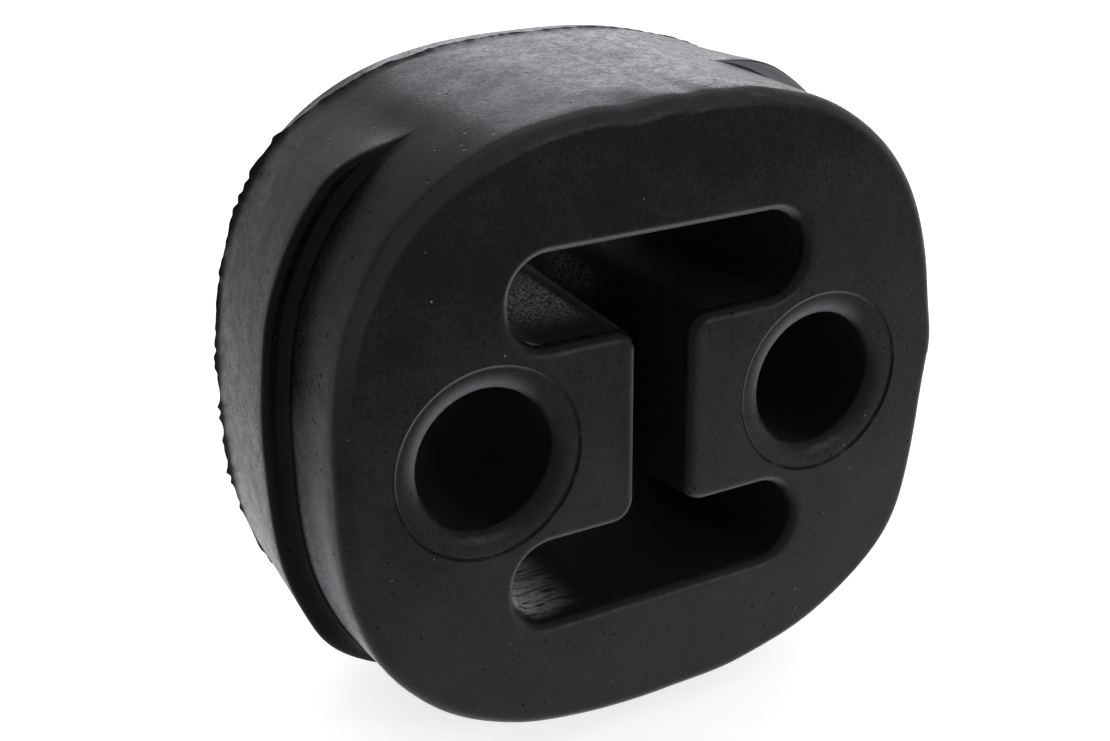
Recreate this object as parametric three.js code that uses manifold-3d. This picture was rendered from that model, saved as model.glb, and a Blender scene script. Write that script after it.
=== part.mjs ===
// Exhaust hanger rubber: one solid block of moulded rubber that carries an exhaust pipe under a car.
// A pin on the car body goes through one bore and a pin on the exhaust through the other. The H-shaped
// opening between the bores leaves two blocks on thin arms, so that they can swing and take the shake.
// It comes out of a deep mould closed by a shallow one. The outside widens from the front face to the
// joint between them, where a thin flash is left, and the core of the opening narrows toward the back.
// Millimetres. X runs from bore to bore, Y along the bores and Z up. The origin is midway between the
// bores at mid-depth, and the front face looks toward -Y.

import * as THREE from 'three';
import { mergeVertices } from 'three/addons/utils/BufferGeometryUtils.js';
import Module from 'manifold-3d';

// Bores
const BORE_SPACING = 31.4;
const BORE_DIAMETER = 11.6;
const MOUTH_DIAMETER = 16.0;
const MOUTH_DEPTH = 1.3;
const SEAT_DEPTH = 0.15;

// H-shaped opening, with its sizes at the back, where the core is narrowest
const CENTRE_GAP = 2.5;
const BLOCK_WALL = 3.8;
const SLOT_WIDTH = 24.8;
const SLOT_HEIGHT = 4.9;
const SLOT_END_FLAT = 0.5;
const BLOCK_CORNER_RADIUS = 3.2;
const OPENING_LIP = 1.1;
const OPENING_DRAFT = 1.2;
const BACK_LIP = 0.5;

// Outside
const JOINT_DEPTH = 23.0;
const BACK_DEPTH = 3.0;
const SIDE_WALL = 6.5;
const END_WALL = 11.8;
const SIDE_DRAFT = 0.35;
const END_DRAFT = 0.9;
const BODY_SQUARENESS = 2.6;
const EDGE_RADIUS = 1.5;
const BACK_EDGE_RADIUS = 1.8;

// Side ribs, highest at their front edge, and the flash left at the joint of the mould. The angles say
// where a rib ends, in degrees up or down from the middle of its side, and over how much it fades.
const RIB_SETBACK = 9.6;
const RIB_HEIGHT = 2.0;
const RIB_TOP_ANGLE = 56;
const RIB_TOP_FADE = 16;
const RIB_FOOT_ANGLE = 52;
const RIB_FOOT_FADE = 20;
const RIB_RUNOUT = 0.3;
const RIB_ROOT = 1.0;
const RIB_EDGE = 0.6;
const FLASH_HEIGHT = 0.35;
const FLASH_WIDTH = 0.4;
const FLASH_TIP = 0.1;

// How finely the round parts are drawn
const OUTLINE_POINTS = 96;
const BORE_SEGMENTS = 40;
const ROUND_STEPS = 4;
const RIB_STEPS = 2;
const CORNER_STEPS = 5;

// Everything that fits together is worked out from the sizes above.
const depth = JOINT_DEPTH + BACK_DEPTH;
const halfDepth = depth / 2;
const boreRadius = BORE_DIAMETER / 2;
const mouthRadius = MOUTH_DIAMETER / 2;
const blockHalfHeight = boreRadius + BLOCK_WALL;
const slotTop = blockHalfHeight + SLOT_HEIGHT;
const slotEndRadius = (SLOT_HEIGHT - SLOT_END_FLAT) / 2;
const faceHalfWidth = BORE_SPACING / 2 + boreRadius + SIDE_WALL;
const faceHalfHeight = slotTop + END_WALL;

// How far the tools that cut holes stand past the faces
const PAST_FACE = 2.0;

const RUBBER = new THREE.MeshStandardMaterial({ color: 0x242426, roughness: 0.62, metalness: 0.0 });

// A point of the squared oval with the given half sizes, and the outward direction there.
function ovalPoint(halfWidth, halfHeight, squareness, angle) {
  const c = Math.cos(angle);
  const s = Math.sin(angle);
  const reach = (Math.abs(c / halfWidth) ** squareness + Math.abs(s / halfHeight) ** squareness)
    ** (-1 / squareness);
  const point = new THREE.Vector2(reach * c, reach * s);
  const outward = new THREE.Vector2(
    Math.sign(c) * Math.abs(point.x / halfWidth) ** (squareness - 1) / halfWidth,
    Math.sign(s) * Math.abs(point.y / halfHeight) ** (squareness - 1) / halfHeight,
  ).normalize();
  return { point, outward };
}

// How far the side rib stands out of the body at a point of its outline. It rises from nothing near
// the corners, further round at the top than at the foot, and narrows toward the joint.
function ribReach(bodyPoint, behind) {
  const turn = THREE.MathUtils.radToDeg(Math.atan2(bodyPoint.y, Math.abs(bodyPoint.x)));
  const topRise = 1 - THREE.MathUtils.smoothstep(turn, RIB_TOP_ANGLE - RIB_TOP_FADE, RIB_TOP_ANGLE);
  const footRise = 1 - THREE.MathUtils.smoothstep(-turn, RIB_FOOT_ANGLE - RIB_FOOT_FADE, RIB_FOOT_ANGLE);
  const along = Math.max(0, behind - RIB_SETBACK) / (JOINT_DEPTH - RIB_SETBACK);
  return RIB_HEIGHT * topRise * footRise * THREE.MathUtils.lerp(1, RIB_RUNOUT, Math.min(1, along));
}

// Sections from the front face to the back: the depth behind the front face, how far the section is
// drawn in from the outside, and what share of the rib and of the flash it has.
function outsideSections() {
  const sections = [];
  for (let i = 0; i <= ROUND_STEPS; i += 1) {
    const turn = (i / ROUND_STEPS) * Math.PI / 2;
    sections.push({
      behind: EDGE_RADIUS * (1 - Math.cos(turn)),
      inset: EDGE_RADIUS * (1 - Math.sin(turn)),
      rib: 0,
      flash: 0,
    });
  }
  for (let i = 0; i <= RIB_STEPS; i += 1) {
    const turn = (i / RIB_STEPS) * Math.PI / 2;
    sections.push({
      behind: RIB_SETBACK - RIB_ROOT * (1 - Math.sin(turn)),
      inset: 0,
      rib: RIB_ROOT * (1 - Math.cos(turn)) / RIB_HEIGHT,
      flash: 0,
    });
  }
  for (let i = 0; i <= RIB_STEPS; i += 1) {
    const turn = (i / RIB_STEPS) * Math.PI / 2;
    sections.push({
      behind: RIB_SETBACK + RIB_EDGE * (1 - Math.cos(turn)),
      inset: 0,
      rib: 1 - RIB_EDGE * (1 - Math.sin(turn)) / RIB_HEIGHT,
      flash: 0,
    });
  }
  const flashSides = [
    { off: -FLASH_WIDTH / 2, flash: 0 },
    { off: -FLASH_TIP / 2, flash: 1 },
    { off: FLASH_TIP / 2, flash: 1 },
    { off: FLASH_WIDTH / 2, flash: 0 },
  ];
  flashSides.forEach(({ off, flash }) => {
    sections.push({ behind: JOINT_DEPTH + off, inset: 0, rib: 1, flash });
  });
  for (let i = ROUND_STEPS; i >= 0; i -= 1) {
    const turn = (i / ROUND_STEPS) * Math.PI / 2;
    sections.push({
      behind: depth - BACK_EDGE_RADIUS * (1 - Math.cos(turn)),
      inset: BACK_EDGE_RADIUS * (1 - Math.sin(turn)),
      rib: 0,
      flash: 0,
    });
  }
  return sections;
}

// A closed skin through rings of points that all have the same count, with a flat cap at each end.
// The first ring is the one nearest -Y, and each runs anticlockwise when it is seen from the front.
function skin(rings) {
  const count = rings[0].length;
  const positions = [];
  const index = [];
  rings.forEach((ring) => ring.forEach((p) => positions.push(p.x, p.y, p.z)));
  for (let r = 0; r + 1 < rings.length; r += 1) {
    for (let i = 0; i < count; i += 1) {
      const a = r * count + i;
      const b = r * count + (i + 1) % count;
      index.push(a, b + count, b, a, a + count, b + count);
    }
  }
  const flat = rings[0].map((p) => new THREE.Vector2(p.x, p.z));
  const last = (rings.length - 1) * count;
  THREE.ShapeUtils.triangulateShape(flat, []).forEach(([a, b, c]) => {
    index.push(a, b, c);
  });
  const flatBack = rings[rings.length - 1].map((p) => new THREE.Vector2(p.x, p.z));
  THREE.ShapeUtils.triangulateShape(flatBack, []).forEach(([a, b, c]) => {
    index.push(last + a, last + c, last + b);
  });
  const geometry = new THREE.BufferGeometry();
  geometry.setAttribute('position', new THREE.Float32BufferAttribute(positions, 3));
  geometry.setIndex(index);
  return geometry;
}

// The whole outside of the moulding as one solid. It grows with the draft as far as the joint.
function outsideGeometry() {
  const rings = outsideSections().map((section) => {
    const drafted = Math.min(1, section.behind / JOINT_DEPTH);
    const halfWidth = faceHalfWidth + SIDE_DRAFT * drafted;
    const halfHeight = faceHalfHeight + END_DRAFT * drafted;
    const ring = [];
    for (let i = 0; i < OUTLINE_POINTS; i += 1) {
      const angle = (i / OUTLINE_POINTS) * 2 * Math.PI;
      const body = ovalPoint(halfWidth, halfHeight, BODY_SQUARENESS, angle);
      const reach = section.rib * ribReach(body.point, section.behind)
        + section.flash * FLASH_HEIGHT - section.inset;
      const point = body.point.addScaledVector(body.outward, reach);
      ring.push(new THREE.Vector3(point.x, section.behind - halfDepth, point.y));
    }
    return ring;
  });
  return skin(rings);
}

// The outline of the H-shaped opening, drawn outward by a distance. The slots' corners open out with
// it and the blocks' corners get tighter.
function openingOutline(outBy) {
  const endX = SLOT_WIDTH / 2 - slotEndRadius;
  const farZ = slotTop - slotEndRadius;
  const nearZ = blockHalfHeight + slotEndRadius;
  const blockX = CENTRE_GAP / 2 + BLOCK_CORNER_RADIUS;
  const blockZ = blockHalfHeight - BLOCK_CORNER_RADIUS;
  const slotRadius = slotEndRadius + outBy;
  const blockRadius = BLOCK_CORNER_RADIUS - outBy;
  const corners = [
    { x: endX, z: -farZ, radius: slotRadius, from: -90, to: 0 },
    { x: endX, z: -nearZ, radius: slotRadius, from: 0, to: 90 },
    { x: blockX, z: -blockZ, radius: blockRadius, from: -90, to: -180 },
    { x: blockX, z: blockZ, radius: blockRadius, from: 180, to: 90 },
    { x: endX, z: nearZ, radius: slotRadius, from: -90, to: 0 },
    { x: endX, z: farZ, radius: slotRadius, from: 0, to: 90 },
    { x: -endX, z: farZ, radius: slotRadius, from: 90, to: 180 },
    { x: -endX, z: nearZ, radius: slotRadius, from: 180, to: 270 },
    { x: -blockX, z: blockZ, radius: blockRadius, from: 90, to: 0 },
    { x: -blockX, z: -blockZ, radius: blockRadius, from: 0, to: -90 },
    { x: -endX, z: -nearZ, radius: slotRadius, from: 90, to: 180 },
    { x: -endX, z: -farZ, radius: slotRadius, from: 180, to: 270 },
  ];
  return corners.flatMap((corner) => {
    const points = [];
    for (let i = 0; i <= CORNER_STEPS; i += 1) {
      const angle = THREE.MathUtils.degToRad(
        THREE.MathUtils.lerp(corner.from, corner.to, i / CORNER_STEPS),
      );
      points.push(new THREE.Vector2(
        corner.x + corner.radius * Math.cos(angle), corner.z + corner.radius * Math.sin(angle),
      ));
    }
    return points;
  });
}

// The core that leaves the H-shaped opening: widest at the front, with a rounded lip at each face.
function openingGeometry() {
  const sections = [{ behind: -PAST_FACE, outBy: OPENING_DRAFT + OPENING_LIP }];
  for (let i = 0; i <= ROUND_STEPS; i += 1) {
    const turn = (i / ROUND_STEPS) * Math.PI / 2;
    sections.push({
      behind: OPENING_LIP * (1 - Math.cos(turn)),
      outBy: OPENING_DRAFT + OPENING_LIP * (1 - Math.sin(turn)),
    });
  }
  for (let i = ROUND_STEPS; i >= 0; i -= 1) {
    const turn = (i / ROUND_STEPS) * Math.PI / 2;
    sections.push({
      behind: depth - BACK_LIP * (1 - Math.cos(turn)),
      outBy: BACK_LIP * (1 - Math.sin(turn)),
    });
  }
  sections.push({ behind: depth + PAST_FACE, outBy: BACK_LIP });
  return skin(sections.map((section) => openingOutline(section.outBy)
    .map((point) => new THREE.Vector3(point.x, section.behind - halfDepth, point.y))));
}

// The pin that leaves one bore. Its mouth is wide and rounded, set a hair below the front face, and
// the back edge is only eased.
function boreGeometry(centreX) {
  const profile = [
    new THREE.Vector2(0, -PAST_FACE),
    new THREE.Vector2(mouthRadius, -PAST_FACE),
  ];
  for (let i = 0; i <= ROUND_STEPS; i += 1) {
    const turn = (i / ROUND_STEPS) * Math.PI / 2;
    profile.push(new THREE.Vector2(
      boreRadius + (mouthRadius - boreRadius) * (1 - Math.sin(turn)),
      SEAT_DEPTH + (MOUTH_DEPTH - SEAT_DEPTH) * (1 - Math.cos(turn)),
    ));
  }
  for (let i = ROUND_STEPS; i >= 0; i -= 1) {
    const turn = (i / ROUND_STEPS) * Math.PI / 2;
    profile.push(new THREE.Vector2(
      boreRadius + BACK_LIP * (1 - Math.sin(turn)),
      depth - BACK_LIP * (1 - Math.cos(turn)),
    ));
  }
  profile.push(new THREE.Vector2(boreRadius + BACK_LIP, depth + PAST_FACE));
  profile.push(new THREE.Vector2(0, depth + PAST_FACE));
  return new THREE.LatheGeometry(profile, BORE_SEGMENTS).translate(centreX, -halfDepth, 0);
}

const wasm = await Module();
wasm.setup();

// A closed geometry as a solid that can be cut.
function solid(geometry) {
  const bare = geometry.clone();
  bare.deleteAttribute('normal');
  bare.deleteAttribute('uv');
  const merged = mergeVertices(bare, 1e-4);
  return new wasm.Manifold(new wasm.Mesh({
    numProp: 3,
    vertProperties: new Float32Array(merged.attributes.position.array),
    triVerts: new Uint32Array(merged.index.array),
  }));
}

// A solid as a geometry with normals.
function geometryOf(manifold) {
  const mesh = manifold.getMesh();
  const geometry = new THREE.BufferGeometry();
  geometry.setAttribute('position', new THREE.BufferAttribute(mesh.vertProperties, 3));
  geometry.setIndex(new THREE.BufferAttribute(mesh.triVerts, 1));
  geometry.computeVertexNormals();
  return geometry;
}

// The moulding: the outside less the opening and the two bores.
function hangerRubber() {
  const cut = [-1, 1].reduce(
    (block, side) => block.subtract(solid(boreGeometry(side * BORE_SPACING / 2))),
    solid(outsideGeometry()).subtract(solid(openingGeometry())),
  );
  const mesh = new THREE.Mesh(geometryOf(cut), RUBBER);
  mesh.name = 'hanger_rubber';
  return mesh;
}

const hanger = new THREE.Group();
hanger.add(hangerRubber());

export default hanger;
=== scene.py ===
import math

import bpy
import numpy as np
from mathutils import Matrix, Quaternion, Vector


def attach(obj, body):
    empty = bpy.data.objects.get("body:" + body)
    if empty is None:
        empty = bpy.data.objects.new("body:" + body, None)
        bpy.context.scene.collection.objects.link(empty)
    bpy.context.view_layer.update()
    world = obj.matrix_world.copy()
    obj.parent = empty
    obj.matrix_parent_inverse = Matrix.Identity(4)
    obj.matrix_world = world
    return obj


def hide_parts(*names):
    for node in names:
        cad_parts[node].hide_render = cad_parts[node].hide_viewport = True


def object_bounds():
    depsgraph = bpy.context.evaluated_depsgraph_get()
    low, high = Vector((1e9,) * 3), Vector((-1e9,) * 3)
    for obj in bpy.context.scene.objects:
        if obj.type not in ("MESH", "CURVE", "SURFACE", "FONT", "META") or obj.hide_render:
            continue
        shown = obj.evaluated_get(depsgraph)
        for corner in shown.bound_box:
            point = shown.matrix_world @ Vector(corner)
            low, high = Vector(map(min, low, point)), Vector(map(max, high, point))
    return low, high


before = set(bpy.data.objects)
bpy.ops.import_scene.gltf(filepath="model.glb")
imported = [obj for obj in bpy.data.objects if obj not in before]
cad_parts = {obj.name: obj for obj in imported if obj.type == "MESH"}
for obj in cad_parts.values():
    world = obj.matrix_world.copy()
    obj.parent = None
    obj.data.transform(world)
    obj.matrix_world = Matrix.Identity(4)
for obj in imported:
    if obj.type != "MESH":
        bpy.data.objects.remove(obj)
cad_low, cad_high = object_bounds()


# Camera
# The photograph was taken from close by, above the rubber and to its left, so the near side looks
# larger. Its lens is given for a sensor 36 mm wide.
MM = 0.001
CAMERA_PLACE = Vector((-67.3, -113.6, 55.0)) * MM
CAMERA_AIM = Vector((-10.0, -13.0, 6.5)) * MM
CAMERA_ROLL = math.radians(-0.43)
CAMERA_LENS = 53.69
CAMERA_NEAREST = 0.005

camera = bpy.data.objects.new("camera", bpy.data.cameras.new("camera"))
bpy.context.scene.collection.objects.link(camera)
bpy.context.scene.camera = camera
camera.location = CAMERA_PLACE
camera.rotation_mode = "QUATERNION"
looking = (CAMERA_AIM - CAMERA_PLACE).to_track_quat("-Z", "Y")
camera.rotation_quaternion = looking @ Quaternion((0, 0, 1), CAMERA_ROLL)
camera.data.lens = CAMERA_LENS
camera.data.clip_start = CAMERA_NEAREST


# Studio
# A white paper sweep under and behind the rubber, in a white room whose near side is grey. One soft
# lamp stands behind to the right, one is overhead and a third lights the face from the near right.
SWEEP_SIZE = 6.0
SWEEP_WHITE = "#f2f2f2"
SWEEP_GLOW = 0.70
ROOM_WHITE = "#ffffff"
ROOM_GREY = "#747474"
ROOM_NEAR_SIDE = Vector((-0.35, -0.90, 0.25)).normalized()
ROOM_GREY_BEGINS = -0.25
ROOM_GREY_FULL = 0.30
# Each lamp's place and width in metres, its power in watts and its colour
LAMPS = {
    "back_softbox": (Vector((0.75, 1.30, 0.60)), 0.9, 5.6, "#f0f4ff"),
    "top_softbox": (Vector((0.30, 0.35, 1.10)), 0.8, 3.0, "#ffffff"),
    "front_softbox": (Vector((0.60, -1.20, 0.40)), 0.6, 6.5, "#ffffff"),
}


def linear(hex_colour):
    """The linear red, green, blue and alpha of an sRGB hex colour."""
    channels = [int(hex_colour[i:i + 2], 16) / 255 for i in (1, 3, 5)]
    return [c / 12.92 if c <= 0.04045 else ((c + 0.055) / 1.055) ** 2.4 for c in channels] + [1.0]


def add_node(tree, kind, settings=None, links=None, **values):
    """Adds a node. Settings are its own properties, links what feeds its inputs, be it another node's
    output or a plain value, and the rest are plain values of its inputs by name."""
    node = tree.nodes.new(kind)
    for name, value in (settings or {}).items():
        setattr(node, name, value)
    for name, value in values.items():
        node.inputs[name.replace("_", " ")].default_value = value
    for name, source in (links or {}).items():
        if hasattr(source, "is_output"):
            tree.links.new(source, node.inputs[name])
        else:
            node.inputs[name].default_value = source
    return node


def white_paper():
    """Matt white paper, which takes the soft shadow. It glows a little for the camera and is plain
    white in reflections."""
    material = bpy.data.materials.new("white_paper_sweep")
    material.use_nodes = True
    tree = material.node_tree
    tree.nodes.clear()
    ray = add_node(tree, "ShaderNodeLightPath")
    matt = add_node(tree, "ShaderNodeBsdfDiffuse", Color=linear(SWEEP_WHITE))
    glow = add_node(tree, "ShaderNodeMath", {"operation": "MULTIPLY"},
                    {0: ray.outputs["Is Camera Ray"], 1: SWEEP_GLOW})
    light = add_node(tree, "ShaderNodeEmission", links={"Strength": glow.outputs[0]},
                     Color=linear(ROOM_WHITE))
    paper = add_node(tree, "ShaderNodeAddShader", links={0: matt.outputs[0], 1: light.outputs[0]})
    plain = add_node(tree, "ShaderNodeEmission", Color=linear(ROOM_WHITE), Strength=1.0)
    mirrored = add_node(tree, "ShaderNodeMath", {"operation": "MAXIMUM"},
                        {0: ray.outputs["Is Glossy Ray"], 1: ray.outputs["Is Transmission Ray"]})
    shown = add_node(tree, "ShaderNodeMixShader",
                     links={0: mirrored.outputs[0], 1: paper.outputs[0], 2: plain.outputs[0]})
    add_node(tree, "ShaderNodeOutputMaterial", links={"Surface": shown.outputs[0]})
    return material


def white_room():
    """Plain white to the camera and in reflections. Its near side lights the rubber as grey walls do."""
    world = bpy.data.worlds.new("studio")
    world.use_nodes = True
    tree = world.node_tree
    tree.nodes.clear()
    direction = add_node(tree, "ShaderNodeTexCoord")
    nearness = add_node(tree, "ShaderNodeVectorMath", {"operation": "DOT_PRODUCT"},
                        {0: direction.outputs["Generated"], 1: ROOM_NEAR_SIDE})
    near_side = add_node(tree, "ShaderNodeMapRange", {"interpolation_type": "SMOOTHSTEP"},
                         {"Value": nearness.outputs["Value"]},
                         From_Min=ROOM_GREY_BEGINS, From_Max=ROOM_GREY_FULL)
    ray = add_node(tree, "ShaderNodeLightPath")
    mirrored = add_node(tree, "ShaderNodeMath", {"operation": "MAXIMUM"},
                        {0: ray.outputs["Is Glossy Ray"], 1: ray.outputs["Is Transmission Ray"]})
    shown = add_node(tree, "ShaderNodeMath", {"operation": "MAXIMUM"},
                     {0: ray.outputs["Is Camera Ray"], 1: mirrored.outputs[0]})
    lit = add_node(tree, "ShaderNodeMath", {"operation": "SUBTRACT"}, {0: 1.0, 1: shown.outputs[0]})
    grey = add_node(tree, "ShaderNodeMath", {"operation": "MULTIPLY"},
                    {0: near_side.outputs["Result"], 1: lit.outputs[0]})
    shade = add_node(tree, "ShaderNodeMix", {"data_type": "RGBA"},
                     {"Factor": grey.outputs[0], 6: linear(ROOM_WHITE), 7: linear(ROOM_GREY)})
    walls = add_node(tree, "ShaderNodeBackground", links={"Color": shade.outputs[2]}, Strength=1.0)
    add_node(tree, "ShaderNodeOutputWorld", links={"Surface": walls.outputs[0]})
    return world


half = SWEEP_SIZE / 2
corners = ((-half, -half), (half, -half), (half, half), (-half, half))
sweep_mesh = bpy.data.meshes.new("sweep")
sweep_mesh.from_pydata([(x, y, cad_low.z) for x, y in corners], [], [(0, 1, 2, 3)])
sweep_mesh.materials.append(white_paper())
sweep = bpy.data.objects.new("sweep", sweep_mesh)
bpy.context.scene.collection.objects.link(sweep)

bpy.context.scene.world = white_room()
for name, (place, width, power, tint) in LAMPS.items():
    lamp = bpy.data.objects.new(name, bpy.data.lights.new(name, "AREA"))
    lamp.data.shape = "SQUARE"
    lamp.data.size = width
    lamp.data.energy = power
    lamp.data.color = linear(tint)[:3]
    lamp.location = place
    lamp.rotation_mode = "QUATERNION"
    lamp.rotation_quaternion = (-place).to_track_quat("-Z", "Y")
    bpy.context.scene.collection.objects.link(lamp)

bpy.context.scene.view_settings.view_transform = "Standard"


# Hanger rubber
# One piece of black EPDM rubber, pressed in a deep mould with a shallow lid. The joint between the
# two leaves a thin torn flash, and cores leave the H-shaped opening and the bores for the pins.

# Bores, sizes in mm
BORE_SPACING = 31.4
BORE_RADIUS = 5.8
MOUTH_RADIUS = 8.0
MOUTH_DEPTH = 1.3
SEAT_DEPTH = 0.15

# H-shaped opening, sizes in mm
SLOT_HALF_WIDTH = 12.4
SLOT_TOP = 14.5
SLOT_END_RADIUS = 2.2
BLOCK_HALF_HEIGHT = 9.6
BLOCK_CORNER_RADIUS = 3.2
CENTRE_HALF_GAP = 1.25
OPENING_LIP = 1.1
OPENING_DRAFT = 1.2
BACK_LIP = 0.5

# Outside of the block, sizes in mm
JOINT_DEPTH = 23.0
BACK_DEPTH = 3.0
DEPTH = JOINT_DEPTH + BACK_DEPTH
HALF_DEPTH = DEPTH / 2
FACE_HALF_WIDTH = 28.0
FACE_HALF_HEIGHT = 26.3
SQUARENESS = 2.6
SIDE_DRAFT = 0.35
END_DRAFT = 0.9
EDGE_RADIUS = 1.5
BACK_EDGE_RADIUS = 1.8

# Side ribs, sizes in mm and angles in degrees from level
RIB_SETBACK = 9.6
RIB_HEIGHT = 2.0
RIB_RUNOUT = 0.3
RIB_ROOT = 1.0
RIB_EDGE = 0.6
RIB_TOP_ANGLE = 56
RIB_TOP_FADE = 16
RIB_FOOT_ANGLE = 52
RIB_FOOT_FADE = 20

# The right rib's top end goes further round, is lower and lies further back
RIGHT_TOP_ANGLE = 66
RIGHT_TOP_HEIGHT = 1.5
RIGHT_TOP_FROM = (10.0, 40.0)
RIGHT_TOP_BLEND = 1.0
RIGHT_SHIFT = 2.4
RIGHT_SHIFT_FROM = (10.0, 35.0)
RIGHT_SHIFT_BLEND = 0.02
RIGHT_SHIFT_DEPTHS = (2.0, 8.5, 10.3, 20.0)
RIGHT_SHIFT_SHARES = (0, 1, 1, 0)

# Torn flash at the mould's joint. Its reach is given in mm at angles round the outline.
FLASH_SEED = 5
FLASH_WIDTH = 0.4
FLASH_TIP = 0.08
FLASH_SHOULDER = 0.6
FLASH_WANDER_SEED = 8
FLASH_WANDER = 0.10
FLASH_WANDER_SPAN = 6.0
FLASH_TORN = (0.15, 1.0)
FLASH_TORN_STEPS = 361
FLASH_TORN_POWER = 1.3
FLASH_REACH = (
    (0, 0.12), (60, 0.14), (100, 0.10), (128, 0.20), (136, 0.50), (148, 0.50), (153, 0.30), (166, 0.28),
    (170, 0.34), (180, 0.34), (184, 0.50), (194, 0.50), (198, 0.30), (206, 0.20), (360, 0.12),
)

# Unevenness of the outside. Each swell has its angle, its half width in degrees and its height in mm.
DENT_SEED = 3
DENT_SPAN = 7.0
DENT_DEPTH = 0.05
DENTS_BEGIN = 0.2
DENTS_END = JOINT_DEPTH - 0.3
NICK_ANGLE = 71.0
NICK_WIDTH = 2.4
NICK_DEPTH = 0.22
NICK_BEHIND = 0.7
NICK_REACH = 0.5
HOLLOWS = ((96.0, 5.0, 0.45), (84.0, 3.0, 0.25), (77.0, 2.5, 0.12))
HOLLOWS_FADE = (0.3, 4.5)
BULGES = ((326.0, 12.0, 0.75), (3.0, 7.0, 0.55))
BULGES_FADE = (3.0, 9.0)

# Fineness of the mesh
OUTLINE_POINTS = 900
BORE_POINTS = 160
CORNER_POINTS = 13
SECTION_LEAD = 0.8
SECTION_MARGIN = 0.6
SECTION_STEP = 0.9
EDGE_STEPS = 8
RIB_ROOT_STEPS = 6
RIB_EDGE_STEPS = 5
LIP_STEPS = 8
BACK_LIP_STEPS = 4
MOUTH_STEPS = 10
OPENING_WALL_FROM = 2.5
OPENING_STEP = 1.5
BORE_WALL_FROM = 3.0
BORE_STEP = 2.0
PAST_FACE = 1.0
NORMAL_WEIGHT = 100


def smooth_rise(value, low, high):
    """0 below low, 1 above high, and an even curve between."""
    t = np.clip((value - low) / (high - low), 0.0, 1.0)
    return t * t * (3 - 2 * t)


def quarter_round(radius, steps):
    """Points of a quarter round, each as how far it has gone along and how far it is still short."""
    turn = np.linspace(0.0, math.pi / 2, steps + 1)
    return [(radius * (1 - math.cos(a)), radius * (1 - math.sin(a))) for a in turn]


def outside_sections():
    """Depth behind the face, inset, share of the rib and share of the flash, from front to back."""
    front_strip = np.arange(EDGE_RADIUS + SECTION_LEAD, RIB_SETBACK - RIB_ROOT - SECTION_MARGIN, SECTION_STEP)
    rib_top = np.arange(RIB_SETBACK + RIB_EDGE + SECTION_LEAD, JOINT_DEPTH - SECTION_MARGIN, SECTION_STEP)
    rows = [(along, short, 0, 0) for along, short in quarter_round(EDGE_RADIUS, EDGE_STEPS)]
    rows += [(behind, 0, 0, 0) for behind in front_strip]
    rows += [(RIB_SETBACK - short, 0, rise / RIB_HEIGHT, 0)
             for rise, short in quarter_round(RIB_ROOT, RIB_ROOT_STEPS)]
    rows += [(RIB_SETBACK + along, 0, 1 - short / RIB_HEIGHT, 0)
             for along, short in quarter_round(RIB_EDGE, RIB_EDGE_STEPS)]
    rows += [(behind, 0, 1, 0) for behind in rib_top]
    rows += [
        (JOINT_DEPTH - FLASH_WIDTH / 2, 0, 1, 0),
        (JOINT_DEPTH - FLASH_TIP, 0, 1, FLASH_SHOULDER),
        (JOINT_DEPTH - FLASH_TIP / 2, 0, 1, 1),
        (JOINT_DEPTH + FLASH_TIP / 2, 0, 1, 1),
        (JOINT_DEPTH + FLASH_TIP, 0, 1, FLASH_SHOULDER),
        (JOINT_DEPTH + FLASH_WIDTH / 2, 0, 1, 0),
    ]
    rows += [(DEPTH - along, short, 0, 0)
             for along, short in quarter_round(BACK_EDGE_RADIUS, EDGE_STEPS)[::-1]]
    return rows


def skin(name, rings):
    """A closed mesh through rings of points with the same count, flat at both ends."""
    rings = np.asarray(rings)
    count = rings.shape[1]
    last = len(rings) * count
    faces = [tuple(range(count)), tuple(reversed(range(last - count, last)))]
    for r in range(len(rings) - 1):
        a = r * count + np.arange(count)
        b = r * count + (np.arange(count) + 1) % count
        faces += np.stack([b, a, a + count, b + count], axis=1).tolist()
    mesh = bpy.data.meshes.new(name)
    mesh.from_pydata((rings.reshape(-1, 3) * MM).tolist(), [], faces)
    mesh.validate()
    made = bpy.data.objects.new(name, mesh)
    bpy.context.scene.collection.objects.link(made)
    return made


def wander(seed, along, across, span):
    """An even random swell between about -1 and 1, with the given span from crest to crest."""
    waves = 10
    shortest, longest = 0.7, 1.6
    chance = np.random.default_rng(seed)
    total = np.zeros(np.broadcast(along, across).shape)
    for _ in range(waves):
        heading = chance.uniform(0, 2 * math.pi)
        phase = chance.uniform(0, 2 * math.pi)
        length = span * chance.uniform(shortest, longest)
        travelled = along * math.cos(heading) + across * math.sin(heading)
        total = total + np.sin(travelled * 2 * math.pi / length + phase)
    return total / (waves / 2)


def swells(degrees, places):
    """Smooth swells round the outline, each with its angle, its half width and its height."""
    total = np.zeros(len(degrees))
    for angle, half_width, height in places:
        off = (degrees - angle + 180) % 360 - 180
        total = total + height * np.exp(-(off / half_width) ** 2)
    return total


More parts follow.
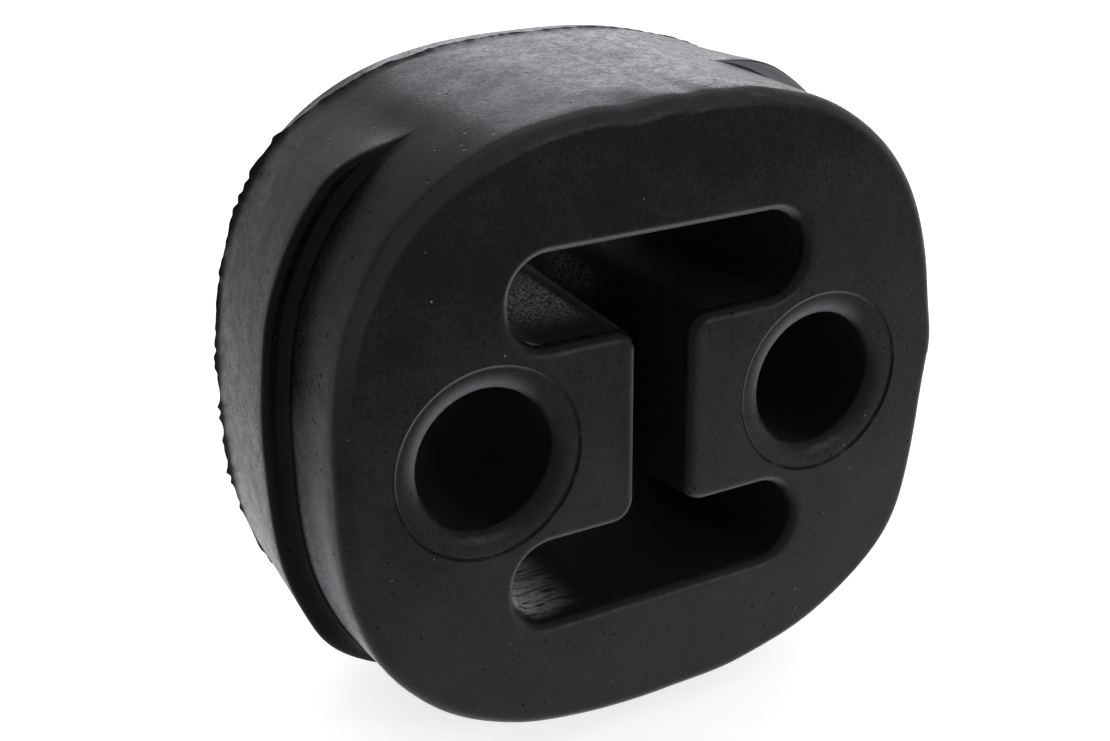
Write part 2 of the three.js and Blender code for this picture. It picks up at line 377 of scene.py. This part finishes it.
def rib_reach(x, z, behind):
    """How far the side rib stands out."""
    turn = np.degrees(np.arctan2(z, np.abs(x)))
    right_top = smooth_rise(x, -RIGHT_TOP_BLEND, RIGHT_TOP_BLEND) * smooth_rise(turn, *RIGHT_TOP_FROM)
    top = RIB_TOP_ANGLE + (RIGHT_TOP_ANGLE - RIB_TOP_ANGLE) * right_top
    height = RIB_HEIGHT + (RIGHT_TOP_HEIGHT - RIB_HEIGHT) * right_top
    below_top = 1 - smooth_rise(turn, top - RIB_TOP_FADE, top)
    above_foot = 1 - smooth_rise(-turn, RIB_FOOT_ANGLE - RIB_FOOT_FADE, RIB_FOOT_ANGLE)
    along = np.clip((behind - RIB_SETBACK) / (JOINT_DEPTH - RIB_SETBACK), 0.0, 1.0)
    return height * below_top * above_foot * (1 + (RIB_RUNOUT - 1) * along)


def outside():
    """The whole outside of the moulding, with the raggedness of its flash and its slight dents."""
    angle = np.linspace(0, 2 * math.pi, OUTLINE_POINTS, endpoint=False)
    degrees = np.degrees(angle)
    around = angle * FACE_HALF_WIDTH
    c, s = np.cos(angle), np.sin(angle)
    chance = np.random.default_rng(FLASH_SEED)
    torn_at = np.linspace(0, 360, FLASH_TORN_STEPS)
    torn = np.interp(degrees, torn_at, chance.uniform(*FLASH_TORN, FLASH_TORN_STEPS)) ** FLASH_TORN_POWER
    flash = np.interp(degrees, *zip(*FLASH_REACH)) * torn
    swing = FLASH_WANDER * wander(FLASH_WANDER_SEED, around, 0.0, FLASH_WANDER_SPAN)
    nick = swells(degrees, [(NICK_ANGLE, math.degrees(NICK_WIDTH / 2 / FACE_HALF_WIDTH), NICK_DEPTH)])
    hollows = swells(degrees, HOLLOWS)
    bulges = swells(degrees, BULGES)
    right_side = smooth_rise(c, -RIGHT_SHIFT_BLEND, RIGHT_SHIFT_BLEND)
    right_top = right_side * smooth_rise(degrees, *RIGHT_SHIFT_FROM) * (degrees < 90)
    rings = []
    for behind, inset, rib_share, flash_share in outside_sections():
        drafted = min(1.0, behind / JOINT_DEPTH)
        half_width = FACE_HALF_WIDTH + SIDE_DRAFT * drafted
        half_height = FACE_HALF_HEIGHT + END_DRAFT * drafted
        fullness = np.abs(c / half_width) ** SQUARENESS + np.abs(s / half_height) ** SQUARENESS
        reach = fullness ** (-1 / SQUARENESS)
        x, z = reach * c, reach * s
        nx = np.sign(x) * np.abs(x / half_width) ** (SQUARENESS - 1) / half_width
        nz = np.sign(z) * np.abs(z / half_height) ** (SQUARENESS - 1) / half_height
        size = np.hypot(nx, nz)
        out = rib_share * rib_reach(x, z, behind) + flash_share * flash
        if DENTS_BEGIN < behind < DENTS_END:
            out = out + DENT_DEPTH * (wander(DENT_SEED, around, behind, DENT_SPAN) - 1)
        out = out - nick * max(0.0, 1 - abs(behind - NICK_BEHIND) / NICK_REACH)
        out = out - hollows * (1 - smooth_rise(behind, *HOLLOWS_FADE))
        out = out + bulges * (1 - smooth_rise(behind, *BULGES_FADE))
        out = out - inset
        shift = RIGHT_SHIFT * np.interp(behind, RIGHT_SHIFT_DEPTHS, RIGHT_SHIFT_SHARES) * right_top
        depth_at = behind + shift + (swing if flash_share > 0 else 0.0)
        rings.append(np.stack([x + out * nx / size, depth_at - HALF_DEPTH, z + out * nz / size], axis=1))
    return skin("hanger_rubber_moulding", rings)


def opening_outline(out_by):
    """The H-shaped outline, drawn outward by a distance, as points anticlockwise from the front."""
    end_x = SLOT_HALF_WIDTH - SLOT_END_RADIUS
    far_z, near_z = SLOT_TOP - SLOT_END_RADIUS, BLOCK_HALF_HEIGHT + SLOT_END_RADIUS
    block_x = CENTRE_HALF_GAP + BLOCK_CORNER_RADIUS
    block_z = BLOCK_HALF_HEIGHT - BLOCK_CORNER_RADIUS
    slot_r, block_r = SLOT_END_RADIUS + out_by, BLOCK_CORNER_RADIUS - out_by
    corners = [
        (end_x, -far_z, slot_r, -90, 0), (end_x, -near_z, slot_r, 0, 90),
        (block_x, -block_z, block_r, -90, -180), (block_x, block_z, block_r, 180, 90),
        (end_x, near_z, slot_r, -90, 0), (end_x, far_z, slot_r, 0, 90),
        (-end_x, far_z, slot_r, 90, 180), (-end_x, near_z, slot_r, 180, 270),
        (-block_x, block_z, block_r, 90, 0), (-block_x, -block_z, block_r, 0, -90),
        (-end_x, -near_z, slot_r, 90, 180), (-end_x, -far_z, slot_r, 180, 270),
    ]
    points = []
    for x, z, radius, start, stop in corners:
        turn = np.radians(np.linspace(start, stop, CORNER_POINTS))
        points += list(zip(x + radius * np.cos(turn), z + radius * np.sin(turn)))
    return np.array(points)


def opening_core():
    """The core that leaves the H-shaped opening, with a rounded lip at each face."""
    walls = np.arange(OPENING_WALL_FROM, DEPTH - OPENING_STEP, OPENING_STEP)
    rows = [(-PAST_FACE, OPENING_DRAFT + OPENING_LIP)]
    rows += [(along, OPENING_DRAFT + short) for along, short in quarter_round(OPENING_LIP, LIP_STEPS)]
    rows += [(behind, OPENING_DRAFT * (1 - behind / DEPTH)) for behind in walls]
    rows += [(DEPTH - along, short) for along, short in quarter_round(BACK_LIP, BACK_LIP_STEPS)[::-1]]
    rows += [(DEPTH + PAST_FACE, BACK_LIP)]
    rings = []
    for behind, out_by in rows:
        flat = opening_outline(out_by)
        rings.append(np.stack([flat[:, 0], np.full(len(flat), behind - HALF_DEPTH), flat[:, 1]], axis=1))
    return skin("opening_core", rings)


def bore_pin(centre_x):
    """The pin that leaves one bore, with its dished mouth set a hair below the face."""
    walls = np.arange(BORE_WALL_FROM, DEPTH - BORE_STEP, BORE_STEP)
    dish_depth = MOUTH_DEPTH - SEAT_DEPTH
    dish_width = MOUTH_RADIUS - BORE_RADIUS
    rows = [(-PAST_FACE, MOUTH_RADIUS)]
    rows += [(SEAT_DEPTH + dish_depth * along, BORE_RADIUS + dish_width * short)
             for along, short in quarter_round(1.0, MOUTH_STEPS)]
    rows += [(behind, BORE_RADIUS) for behind in walls]
    rows += [(DEPTH - along, BORE_RADIUS + short)
             for along, short in quarter_round(BACK_LIP, BACK_LIP_STEPS)[::-1]]
    rows += [(DEPTH + PAST_FACE, BORE_RADIUS + BACK_LIP)]
    turn = np.linspace(0, 2 * math.pi, BORE_POINTS, endpoint=False)
    rings = []
    for behind, radius in rows:
        depth_at = np.full(BORE_POINTS, behind - HALF_DEPTH)
        rings.append(np.stack([centre_x + radius * np.cos(turn), depth_at, radius * np.sin(turn)], axis=1))
    return skin("bore_pin", rings)


def cut_away(body, tools):
    """Cuts closed tools out of a closed body and deletes them."""
    for tool in tools:
        cut = body.modifiers.new("cut", "BOOLEAN")
        cut.operation = "DIFFERENCE"
        cut.solver = "EXACT"
        cut.object = tool
    bpy.context.view_layer.update()
    evaluated = body.evaluated_get(bpy.context.evaluated_depsgraph_get())
    made = bpy.data.meshes.new_from_object(evaluated)
    body.modifiers.clear()
    body.data = made
    for tool in tools:
        bpy.data.objects.remove(tool)


# Gloss, dryness and colours of the moulded rubber
RUBBER_IOR = 1.5
RUBBER_GLOSS = 0.06
RUBBER_DRYNESS = (0.20, 0.38)
DRYNESS_NOISE = (0.75, 1.25)
RUBBER_DARK = "#141415"
RUBBER_PALE = "#3a3a3b"
# Bloom, also used for the painted highlight along the front edge
RUBBER_BLOOM_AND_HIGHLIGHT = "#4e5053"
RUBBER_CHALK_AND_HIGHLIGHT = "#8e9094"
# Chalk, also used for the painted highlights on the right rib's end and on the lips
RUBBER_SPECK = "#8a8a8c"
# Painted shade in the pits and on the lips that lean away
RUBBER_PAINTED_SHADE = "#040404"
RUBBER_RING = "#020202"
# Painted shade in the crease in front of each rib
RUBBER_CREASE_SHADE = "#010101"

# The rubber is painted paler toward its foot as painted light, with clouds, mottling and a grain, whose spans
# are in mm. The real grain is finer than 0.1 mm and is drawn coarser, so that it shows.
PALER_TOWARD = Vector((0.35, 0.0, -1.0))
PALER_FROM = -22.0
PALER_FULL = 24.0
CLOUD_SPAN = 6.0
CLOUD_TONE = 0.14
MOTTLE_SPAN = 1.2
GRAIN_SPAN = 0.3
GRAIN_TONE = 0.16
GRAIN_DEPTH = 0.016
NOISE_LOW = 0.3
NOISE_HIGH = 0.7

# From here on a pair is where a patch begins and where it is full: in mm behind the face, to the right
# of the middle or above it, in the value of a noise, or in how far the surface leans. A third number
# is what is left of the patch outside.

# Chalky bloom on the lower left, partly real and partly a painted reflection of the floor, palest toward the
# foot of the front strip and of the rib's flank
BLOOM_AND_REFLECTION_TOWARD = Vector((-1.0, 0.0, -0.8))
BLOOM_AND_REFLECTION_RAGGEDNESS = 16.0
BLOOM_AND_REFLECTION_LOW_LEFT = (28.0, 44.0)
BLOOM_AND_REFLECTION_FRONT = (1.5, 3.5)
BLOOM_AND_REFLECTION_BACK = (23.5, 20.0)
BLOOM_AND_REFLECTION_GRAIN = (0.25, 0.65, 0.55)
CHALK_AND_REFLECTION_STRIP = (8.8, 7.6)
CHALK_AND_REFLECTION_FLANK = (10.4, 12.0)
CHALK_AND_REFLECTION_FLANK_SHARE = 0.8
CHALK_AND_REFLECTION_FOOT = (1.0, -10.0, 0.25)

# Pits and specks, of which only a share of the places has one. The pits are painted dark too, as painted
# shade in them
PIT_SPAN = 1.1
PIT_RADIUS = 0.20
PIT_SHARE = 0.36
PIT_SHADE_STRENGTH = 0.8
PIT_SINK = -4.0
SPECK_SPAN = 2.2
SPECK_RADIUS = 0.11
SPECK_SHARE = 0.5
SPOT_MIDDLE = 0.4

# Painted shade: near black painted into the crease in front of each rib, which the right rib's top end goes
# without
CREASE_FRONT = (8.2, 8.9)
CREASE_BACK = (10.1, 9.8)
CREASE_SIDE = (13.0, 18.0)
CREASE_FOOT = (-22.0, -16.0)
CREASE_RIGHT = (0.0, 2.0)
CREASE_RIGHT_TOP = (4.0, 10.0)
CREASE_SHADE_STRENGTH = 0.92

# Painted highlight: the front wall of the right rib's top end is painted pale
RIB_END_RIGHT = (6.0, 9.0)
RIB_END_TOP = (14.0, 17.0)
RIB_END_FRONT = (10.4, 11.2)
RIB_END_BACK = (14.5, 13.0)
RIB_END_FACING = (-0.5, -0.85)
RIB_END_HIGHLIGHT_STRENGTH = 0.7

# Lips of the opening and the bores, with a painted highlight where they lean one way and painted shade where
# they lean the other
OPENING_SIDE = (15.6, 15.2)
OPENING_TOP = (17.8, 17.4)
BORE_AROUND = (8.5, 8.2)
LIP_FRONT = (0.02, 0.2)
LIP_BACK = (1.8, 1.4)
LIP_TOWARD = Vector((0.5, 0.0, -0.85))
LIP_HIGHLIGHT_LEAN = (0.05, 0.5)
LIP_HIGHLIGHT_STRENGTH = 0.5
LIP_SHADE_LEAN = (0.0, -0.4)
LIP_SHADE_STRENGTH = 0.65

# Painted highlight along the top of the front edge
EDGE_OFF_FACE = (-0.99, -0.85)
EDGE_OFF_SIDE = (-0.15, -0.5)
EDGE_BACK = (2.1, 1.5)
EDGE_TOP = (2.0, 14.0)
EDGE_HIGHLIGHT_STRENGTH = 0.28

# Broken witness line round each bore's mouth, faint in its upper half
RING_WIDTH = (0.16, 0.16 / 3)
RING_BACK = (0.8, 0.4)
RING_BREAKS = (0.30, 0.50)
RING_FOOT = (6.0, -2.0, 0.25)


def in_millimetres(tree):
    """Object coordinates in mm, so that each pattern's scale is one over its span in mm, and apart from
    them x, the depth behind the face and z."""
    own = add_node(tree, "ShaderNodeTexCoord")
    place = add_node(tree, "ShaderNodeVectorMath", {"operation": "SCALE"},
                     {0: own.outputs["Object"], "Scale": 1 / MM}).outputs[0]
    x, y, z = add_node(tree, "ShaderNodeSeparateXYZ", {}, {"Vector": place}).outputs
    behind = add_node(tree, "ShaderNodeMath", {"operation": "ADD"}, {0: y, 1: HALF_DEPTH}).outputs[0]
    return place, x, behind, z


def patch(tree, limits, *shares):
    """How strongly a soft-edged patch shows. Each limit is a value, where the patch begins, where it is
    full and, where that isn't nothing, what is left of it outside. The shares weaken all of it."""
    factors = list(shares)
    for value, begins, full, *left in limits:
        within = add_node(tree, "ShaderNodeMapRange", {"interpolation_type": "SMOOTHSTEP"},
                          {"Value": value}, From_Min=begins, From_Max=full, To_Min=sum(left))
        factors.append(within.outputs["Result"])
    strength = factors[0]
    for factor in factors[1:]:
        both = add_node(tree, "ShaderNodeMath", {"operation": "MULTIPLY"}, {0: strength, 1: factor})
        strength = both.outputs[0]
    return strength


def spots(tree, place, span, radius, share):
    """Small round spots at random places, one place in so many, with 1 at their middles."""
    cells = add_node(tree, "ShaderNodeTexVoronoi", {}, {"Vector": place}, Scale=1 / span)
    pick = add_node(tree, "ShaderNodeSeparateColor", {}, {"Color": cells.outputs["Color"]})
    kept = add_node(tree, "ShaderNodeMath", {"operation": "GREATER_THAN"},
                    {0: pick.outputs[0], 1: 1 - share})
    near = (cells.outputs["Distance"], radius / span, SPOT_MIDDLE * radius / span)
    return patch(tree, [near], kept.outputs[0])


def laid_on(tree, colour, layers):
    """The ground colour with layers laid on it in turn, each a colour and how strongly it shows."""
    for layer, strength in layers:
        mixed = add_node(tree, "ShaderNodeMix", {"data_type": "RGBA"},
                         {"Factor": strength, 6: colour, 7: linear(layer)})
        colour = mixed.outputs[2]
    return colour


def moulded_rubber():
    """Black EPDM against the polished mould: satin, dry and painted paler toward the foot as painted light,
    with specks, pits painted dark as painted shade, a chalky bloom at the lower left that is partly a painted
    reflection of the floor, painted shade in the crease in front of each rib, and painted highlights and
    shade on the right rib's top end, the lips and the front edge."""
    material = bpy.data.materials.new("epdm_rubber_moulded")
    material.use_nodes = True
    tree = material.node_tree
    surface = tree.nodes["Principled BSDF"]
    surface.inputs["IOR"].default_value = RUBBER_IOR
    surface.inputs["Specular IOR Level"].default_value = RUBBER_GLOSS
    place, x, behind, z = in_millimetres(tree)
    sideways = add_node(tree, "ShaderNodeMath", {"operation": "ABSOLUTE"}, {0: x}).outputs[0]
    upright = add_node(tree, "ShaderNodeMath", {"operation": "ABSOLUTE"}, {0: z}).outputs[0]
    normal = add_node(tree, "ShaderNodeNewGeometry").outputs["Normal"]
    facing = add_node(tree, "ShaderNodeSeparateXYZ", {}, {"Vector": normal}).outputs["Y"]

    # Tone of the ground, with painted light that makes it paler toward the foot
    clouds = add_node(tree, "ShaderNodeTexNoise", {}, {"Vector": place},
                      Scale=1 / CLOUD_SPAN, Detail=3.0, Roughness=0.6).outputs["Fac"]
    mottle = add_node(tree, "ShaderNodeTexNoise", {}, {"Vector": place},
                      Scale=1 / MOTTLE_SPAN, Detail=3.0, Roughness=0.65).outputs["Fac"]
    grain = add_node(tree, "ShaderNodeTexNoise", {}, {"Vector": place},
                     Scale=1 / GRAIN_SPAN, Detail=3.0, Roughness=0.7).outputs["Fac"]
    toward_foot = add_node(tree, "ShaderNodeVectorMath", {"operation": "DOT_PRODUCT"},
                           {0: place, 1: PALER_TOWARD}).outputs["Value"]
    paler = add_node(tree, "ShaderNodeMapRange", {}, {"Value": toward_foot},
                     From_Min=PALER_FROM, From_Max=PALER_FULL).outputs["Result"]
    cloudy = add_node(tree, "ShaderNodeMapRange", {}, {"Value": clouds}, From_Min=NOISE_LOW,
                      From_Max=NOISE_HIGH, To_Min=-CLOUD_TONE, To_Max=CLOUD_TONE).outputs["Result"]
    grainy = add_node(tree, "ShaderNodeMapRange", {}, {"Value": grain}, From_Min=NOISE_LOW,
                      From_Max=NOISE_HIGH, To_Min=-GRAIN_TONE, To_Max=GRAIN_TONE).outputs["Result"]
    patchy = add_node(tree, "ShaderNodeMath", {"operation": "ADD"}, {0: cloudy, 1: grainy}).outputs[0]
    tone = add_node(tree, "ShaderNodeMath", {"operation": "ADD", "use_clamp": True},
                    {0: paler, 1: patchy}).outputs[0]

    # Bloom and chalk, partly a painted reflection of the floor
    low_left = add_node(tree, "ShaderNodeVectorMath", {"operation": "DOT_PRODUCT"},
                        {0: place, 1: BLOOM_AND_REFLECTION_TOWARD}).outputs["Value"]
    ragged = add_node(tree, "ShaderNodeMath", {"operation": "MULTIPLY_ADD"},
                      {0: clouds, 1: BLOOM_AND_REFLECTION_RAGGEDNESS, 2: low_left}).outputs[0]
    bloom_and_reflection = patch(tree, [(ragged, *BLOOM_AND_REFLECTION_LOW_LEFT), (behind, *BLOOM_AND_REFLECTION_FRONT), (behind, *BLOOM_AND_REFLECTION_BACK),
                         (grain, *BLOOM_AND_REFLECTION_GRAIN)])
    off_root = add_node(tree, "ShaderNodeMath", {"operation": "ADD"},
                        {0: patch(tree, [(behind, *CHALK_AND_REFLECTION_STRIP)]),
                         1: patch(tree, [(behind, *CHALK_AND_REFLECTION_FLANK)], CHALK_AND_REFLECTION_FLANK_SHARE)}).outputs[0]
    chalk_and_reflection = patch(tree, [(z, *CHALK_AND_REFLECTION_FOOT)], bloom_and_reflection, off_root)

    # Pits, specks and creases, with painted shade in the pits and the creases
    specks = spots(tree, place, SPECK_SPAN, SPECK_RADIUS, SPECK_SHARE)
    pits = spots(tree, place, PIT_SPAN, PIT_RADIUS, PIT_SHARE)
    pit_shade = patch(tree, [], pits, PIT_SHADE_STRENGTH)
    right_top = patch(tree, [(x, *CREASE_RIGHT), (z, *CREASE_RIGHT_TOP)])
    elsewhere = add_node(tree, "ShaderNodeMath", {"operation": "SUBTRACT"}, {0: 1.0, 1: right_top}).outputs[0]
    # Painted shade: the crease in front of each rib is painted near black
    crease_shade = patch(tree, [(behind, *CREASE_FRONT), (behind, *CREASE_BACK), (sideways, *CREASE_SIDE),
                          (z, *CREASE_FOOT)], elsewhere, CREASE_SHADE_STRENGTH)
    # Painted highlight on the front wall of the right rib's top end
    rib_end_highlight = patch(tree, [(x, *RIB_END_RIGHT), (z, *RIB_END_TOP), (behind, *RIB_END_FRONT),
                           (behind, *RIB_END_BACK), (facing, *RIB_END_FACING)], RIB_END_HIGHLIGHT_STRENGTH)

    # Lips, worn edge and witness lines
    leaning = add_node(tree, "ShaderNodeVectorMath", {"operation": "DOT_PRODUCT"},
                       {0: normal, 1: LIP_TOWARD}).outputs["Value"]
    beside_bore = add_node(tree, "ShaderNodeMath", {"operation": "SUBTRACT"},
                           {0: sideways, 1: BORE_SPACING / 2}).outputs[0]
    on_face = add_node(tree, "ShaderNodeCombineXYZ", {}, {"X": beside_bore, "Y": z}).outputs[0]
    from_bore = add_node(tree, "ShaderNodeVectorMath", {"operation": "LENGTH"}, {0: on_face}).outputs["Value"]
    at_holes = add_node(tree, "ShaderNodeMath", {"operation": "MAXIMUM"},
                        {0: patch(tree, [(sideways, *OPENING_SIDE), (upright, *OPENING_TOP)]),
                         1: patch(tree, [(from_bore, *BORE_AROUND)])}).outputs[0]
    lip = patch(tree, [(behind, *LIP_FRONT), (behind, *LIP_BACK)], at_holes)
    # Painted highlight and painted shade on the lips, by the way they lean
    lip_highlight = patch(tree, [(leaning, *LIP_HIGHLIGHT_LEAN)], lip, LIP_HIGHLIGHT_STRENGTH)
    lip_shade = patch(tree, [(leaning, *LIP_SHADE_LEAN)], lip, LIP_SHADE_STRENGTH)
    off_holes = add_node(tree, "ShaderNodeMath", {"operation": "SUBTRACT"}, {0: 1.0, 1: at_holes}).outputs[0]
    # Painted highlight along the top of the front edge
    edge_highlight = patch(tree, [(facing, *EDGE_OFF_FACE), (facing, *EDGE_OFF_SIDE), (behind, *EDGE_BACK),
                             (z, *EDGE_TOP)], off_holes, EDGE_HIGHLIGHT_STRENGTH)
    off_mouth = add_node(tree, "ShaderNodeMath", {"operation": "SUBTRACT"},
                         {0: from_bore, 1: MOUTH_RADIUS}).outputs[0]
    off_line = add_node(tree, "ShaderNodeMath", {"operation": "ABSOLUTE"}, {0: off_mouth}).outputs[0]
    ring = patch(tree, [(off_line, *RING_WIDTH), (behind, *RING_BACK), (mottle, *RING_BREAKS),
                        (z, *RING_FOOT)])

    # Of these layers the pit, crease, rib end, lip and edge ones are painted shade and highlights, and the
    # bloom and chalk are partly a painted reflection of the floor
    colour = laid_on(tree, linear(RUBBER_DARK), (
        (RUBBER_PALE, tone),
        (RUBBER_BLOOM_AND_HIGHLIGHT, bloom_and_reflection),
        (RUBBER_CHALK_AND_HIGHLIGHT, chalk_and_reflection),
        (RUBBER_SPECK, specks),
        (RUBBER_PAINTED_SHADE, pit_shade),
        (RUBBER_CREASE_SHADE, crease_shade),
        (RUBBER_CHALK_AND_HIGHLIGHT, rib_end_highlight),
        (RUBBER_CHALK_AND_HIGHLIGHT, lip_highlight),
        (RUBBER_PAINTED_SHADE, lip_shade),
        (RUBBER_BLOOM_AND_HIGHLIGHT, edge_highlight),
        (RUBBER_RING, ring),
    ))
    uneven = add_node(tree, "ShaderNodeMath", {"operation": "ADD"}, {0: mottle, 1: grain}).outputs[0]
    dry = add_node(tree, "ShaderNodeMapRange", {"interpolation_type": "SMOOTHSTEP"}, {"Value": uneven},
                   From_Min=DRYNESS_NOISE[0], From_Max=DRYNESS_NOISE[1],
                   To_Min=RUBBER_DRYNESS[0], To_Max=RUBBER_DRYNESS[1])
    height = add_node(tree, "ShaderNodeMath", {"operation": "MULTIPLY_ADD"},
                      {0: pits, 1: PIT_SINK, 2: uneven})
    bump = add_node(tree, "ShaderNodeBump", {}, {"Height": height.outputs[0]},
                    Strength=1.0, Distance=GRAIN_DEPTH * MM)
    tree.links.new(colour, surface.inputs["Base Color"])
    tree.links.new(dry.outputs["Result"], surface.inputs["Roughness"])
    tree.links.new(bump.outputs[0], surface.inputs["Normal"])
    return material


# Cored rubber, inside the opening and the bores. The marks of the draw are finer than 0.1 mm on the
# real one and are drawn coarser, so that they show.
CORED_GLOSS = 0.02
CORED_DRYNESS = (0.65, 0.85)
CORED_DEPTH = 0.05
CORED_DARK = "#1b1b1b"
CORED_MARK = "#1e1e1e"
CORED_SCUFF_AND_REFLECTION = "#c4c4c6"
DRAW_SPAN = 0.6
DRAW_LENGTH = 14.0
DRAW_MARKS = (0.55, 0.75)
SCUFF_SPAN = 0.28
SCUFF_AND_REFLECTION_SPECKLE = (0.42, 0.58)
SCUFF_COVER = (0.30, 0.46)
CHATTER_SPAN = 0.45
CHATTER_LENGTH = 3.0
CHATTER_STREAKS = (0.36, 0.56)

# Scuff on the left block's top, partly a painted reflection of light that comes in through the back of the
# opening
BLOCK_SCUFF_AND_REFLECTION_X = ((-13.5, -8.5), (-4.6, -5.2))
BLOCK_SCUFF_AND_REFLECTION_DEPTH = ((2.5, 8.0), (16.0, 12.0))
BLOCK_SCUFF_AND_REFLECTION_Z = ((7.8, 8.6), (11.5, 10.5))
BLOCK_SCUFF_AND_REFLECTION_STRENGTH = 0.5

# Fainter scuff in the corner behind it, also partly a painted reflection of that light
CORNER_SCUFF_AND_REFLECTION_X = ((0.0, 1.0), (2.6, 1.6))
CORNER_SCUFF_AND_REFLECTION_DEPTH = ((12.0, 16.0), (23.0, 19.0))
CORNER_SCUFF_AND_REFLECTION_Z = (4.5, 7.0)
CORNER_SCUFF_AND_REFLECTION_STRENGTH = 0.22

# Streaked scuff on the lower slot's floor
FLOOR_SCUFF_X = (-6.0, -12.5)
FLOOR_SCUFF_DEPTH = ((0.8, 3.5), (17.0, 10.0))
FLOOR_SCUFF_Z = (-9.0, -10.5)


def cored_rubber():
    """Black EPDM where the cores were drawn out: dull, with fine marks along the draw, and three rough pale
    scuffs on the left block's top, the corner behind it and the lower slot's floor. The first two are partly
    a painted reflection of light that comes in through the back of the opening."""
    material = bpy.data.materials.new("epdm_rubber_cored")
    material.use_nodes = True
    tree = material.node_tree
    surface = tree.nodes["Principled BSDF"]
    surface.inputs["IOR"].default_value = RUBBER_IOR
    surface.inputs["Specular IOR Level"].default_value = CORED_GLOSS
    place, x, behind, z = in_millimetres(tree)
    along_draw = add_node(tree, "ShaderNodeVectorMath", {"operation": "MULTIPLY"},
                          {0: place, 1: (1 / DRAW_SPAN, 1 / DRAW_LENGTH, 1 / DRAW_SPAN)}).outputs[0]
    drawn = add_node(tree, "ShaderNodeTexNoise", {}, {"Vector": along_draw},
                     Scale=1.0, Detail=2.0, Roughness=0.5).outputs["Fac"]
    rough = add_node(tree, "ShaderNodeTexNoise", {}, {"Vector": place},
                     Scale=1 / SCUFF_SPAN, Detail=3.0, Roughness=0.75).outputs["Fac"]
    across_draw = add_node(tree, "ShaderNodeVectorMath", {"operation": "MULTIPLY"},
                           {0: place, 1: (1 / CHATTER_LENGTH, 1 / CHATTER_SPAN, 1 / CHATTER_SPAN)}).outputs[0]
    chatter = add_node(tree, "ShaderNodeTexNoise", {}, {"Vector": across_draw},
                       Scale=1.0, Detail=3.0, Roughness=0.7).outputs["Fac"]

    marks = patch(tree, [(drawn, *DRAW_MARKS)])
    speckle = patch(tree, [(rough, *SCUFF_AND_REFLECTION_SPECKLE)])
    # Partly painted reflection on the left block's top and in the corner behind it
    block_scuff_and_reflection = patch(tree, [(x, *pair) for pair in BLOCK_SCUFF_AND_REFLECTION_X]
                        + [(behind, *pair) for pair in BLOCK_SCUFF_AND_REFLECTION_DEPTH]
                        + [(z, *pair) for pair in BLOCK_SCUFF_AND_REFLECTION_Z], speckle, BLOCK_SCUFF_AND_REFLECTION_STRENGTH)
    corner_scuff_and_reflection = patch(tree, [(x, *pair) for pair in CORNER_SCUFF_AND_REFLECTION_X]
                         + [(behind, *pair) for pair in CORNER_SCUFF_AND_REFLECTION_DEPTH]
                         + [(z, *CORNER_SCUFF_AND_REFLECTION_Z)], speckle, CORNER_SCUFF_AND_REFLECTION_STRENGTH)
    floor_scuff = patch(tree, [(behind, *pair) for pair in FLOOR_SCUFF_DEPTH]
                        + [(x, *FLOOR_SCUFF_X), (z, *FLOOR_SCUFF_Z), (chatter, *CHATTER_STREAKS),
                           (rough, *SCUFF_COVER)])
    colour = laid_on(tree, linear(CORED_DARK), (
        (CORED_MARK, marks),
        (CORED_SCUFF_AND_REFLECTION, block_scuff_and_reflection),
        (CORED_SCUFF_AND_REFLECTION, corner_scuff_and_reflection),
        (CORED_SCUFF_AND_REFLECTION, floor_scuff),
    ))
    dry = add_node(tree, "ShaderNodeMapRange", {"interpolation_type": "SMOOTHSTEP"}, {"Value": rough},
                   From_Min=NOISE_LOW, From_Max=NOISE_HIGH,
                   To_Min=CORED_DRYNESS[0], To_Max=CORED_DRYNESS[1])
    height = add_node(tree, "ShaderNodeMath", {"operation": "ADD"}, {0: drawn, 1: rough})
    bump = add_node(tree, "ShaderNodeBump", {}, {"Height": height.outputs[0]},
                    Strength=1.0, Distance=CORED_DEPTH * MM)
    tree.links.new(colour, surface.inputs["Base Color"])
    tree.links.new(dry.outputs["Result"], surface.inputs["Roughness"])
    tree.links.new(bump.outputs[0], surface.inputs["Normal"])
    return material


rubber = outside()
cut_away(rubber, [opening_core(), bore_pin(-BORE_SPACING / 2), bore_pin(BORE_SPACING / 2)])
rubber.data.materials.clear()
rubber.data.materials.append(moulded_rubber())
rubber.data.materials.append(cored_rubber())
opening_reach_x = SLOT_HALF_WIDTH + OPENING_DRAFT + OPENING_LIP
opening_reach_z = SLOT_TOP + OPENING_DRAFT + OPENING_LIP
for polygon in rubber.data.polygons:
    polygon.use_smooth = True
    x, y, z = polygon.center / MM
    in_opening = abs(x) < opening_reach_x and abs(z) < opening_reach_z
    in_bore = math.hypot(abs(x) - BORE_SPACING / 2, z) < MOUTH_RADIUS
    below_lips = MOUTH_DEPTH < y + HALF_DEPTH < DEPTH - BACK_LIP / 2
    polygon.material_index = int((in_opening or in_bore) and below_lips)
weigh = rubber.modifiers.new("even_normals", "WEIGHTED_NORMAL")
weigh.weight = NORMAL_WEIGHT
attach(rubber, "root")
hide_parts("hanger_rubber")
